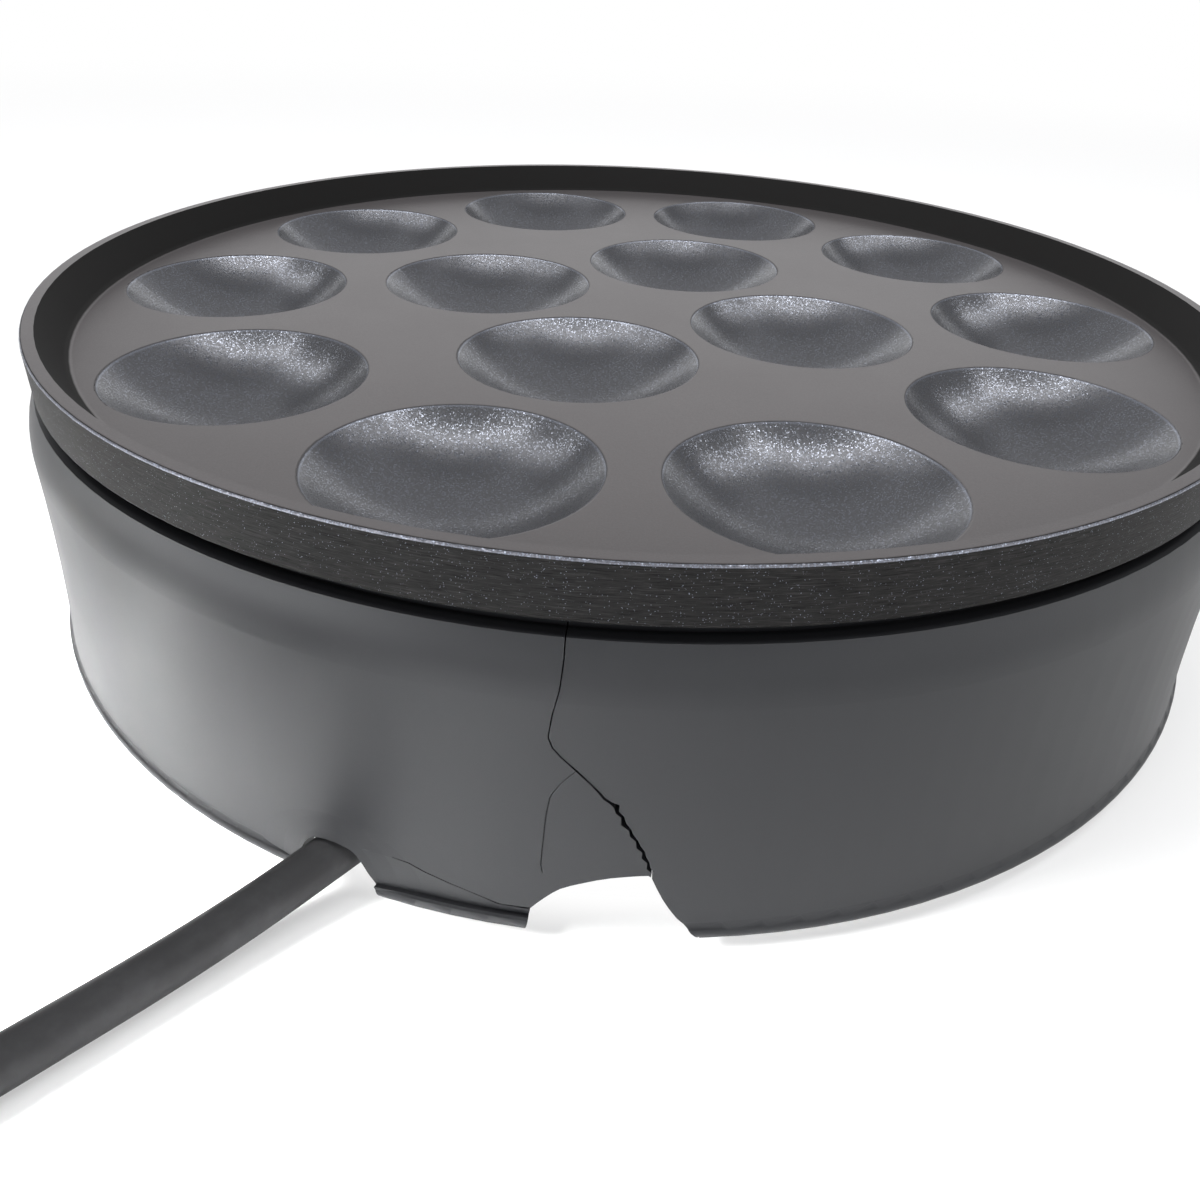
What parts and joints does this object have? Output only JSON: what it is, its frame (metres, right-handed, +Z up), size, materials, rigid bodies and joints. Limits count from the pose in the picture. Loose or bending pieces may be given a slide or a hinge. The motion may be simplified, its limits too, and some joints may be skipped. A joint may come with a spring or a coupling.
{
  "type": "poffertjes maker",
  "caption": "Round electric baking plate with small dish cavities on a cracked black plastic housing, with a front control knob and a mains cord.",
  "frame": {"origin": "middle of the footprint without the cord, on the table", "axes": "+Z up, +Y towards the back, where the cord leaves, -Y towards the control knob"},
  "size_m": [0.3106, 0.4029, 0.066],
  "materials": {
    "nonstick": "charcoal non-stick coating with fine metal flakes",
    "element_steel": "heat-darkened sheath",
    "ceramic": "off-white ceramic",
    "brass": "plain",
    "steel": "plated",
    "shield_steel": "aluminised sheet",
    "housing_plastic": "satin black, heat-resistant",
    "base_plastic": "matt black",
    "foot_rubber": "matt",
    "panel_plastic": "satin black",
    "knob_plastic": "satin black",
    "white_plastic": "white inlay",
    "copper": "bare copper",
    "red_lens": "clear red",
    "green_lens": "clear green",
    "lamp_glass": "neon lamp",
    "brown_wire": "wire sheath",
    "blue_wire": "wire sheath",
    "earth_wire": "wire sheath",
    "red_wire": "wire sheath",
    "cord_rubber": "matt black cord",
    "tie_plastic": "matt",
    "plug_rubber": "moulded"
  },
  "bodies": {
    "appliance": {"baking_plate": "nonstick", "heating_element": "element_steel", "element_insulators": "ceramic", "element_terminals": "brass", "element_clamps": "steel", "clamp_screws": "steel", "heat_shield": "shield_steel", "plate_spacers": "steel", "plate_screws": "steel", "housing": "housing_plastic", "base_cover": "base_plastic", "base_screws": "steel", "foot_1": "foot_rubber", "foot_2": "foot_rubber", "foot_3": "foot_rubber", "foot_4": "foot_rubber", "control_panel": "panel_plastic", "panel_screws": "steel", "thermostat_body": "ceramic", "thermostat_bracket": "steel", "bracket_screws": "steel", "thermostat_nut": "brass", "sensor_bulb": "copper", "sensor_clip": "steel", "sensor_tube": "copper", "lens_power": "red_lens", "lens_ready": "green_lens", "lamp_power": "lamp_glass", "lamp_ready": "lamp_glass", "thermal_fuse": "steel", "fuse_clip": "steel", "terminal_block": "ceramic", "terminal_screws": "brass", "earth_screw": "brass", "wire_live": "brown_wire", "wire_neutral": "blue_wire", "wire_earth": "earth_wire", "wire_supply": "brown_wire", "wire_switched": "red_wire", "wire_fused": "red_wire", "wire_return": "blue_wire", "wire_lamp_power": "red_wire", "wire_lamp_ready": "red_wire", "cord_gland": "cord_rubber", "cord_inner": "cord_rubber", "cord_clamp": "base_plastic", "cord_clamp_screws": "steel", "cord_lead": "cord_rubber", "cord_coil": "cord_rubber", "cord_tie": "tie_plastic", "plug_body": "plug_rubber", "plug_pins": "brass"},
    "knob": {"thermostat_shaft": "steel", "control_knob": "knob_plastic", "knob_pointer": "white_plastic"}
  },
  "joints": [
    {"name": "knob_turn", "type": "hinge", "parent": "appliance", "child": "knob", "pos_m": [0, -0.1268, 0.0305], "axis": [0, 1, 0], "range_deg": [0, 270]}
  ]
}
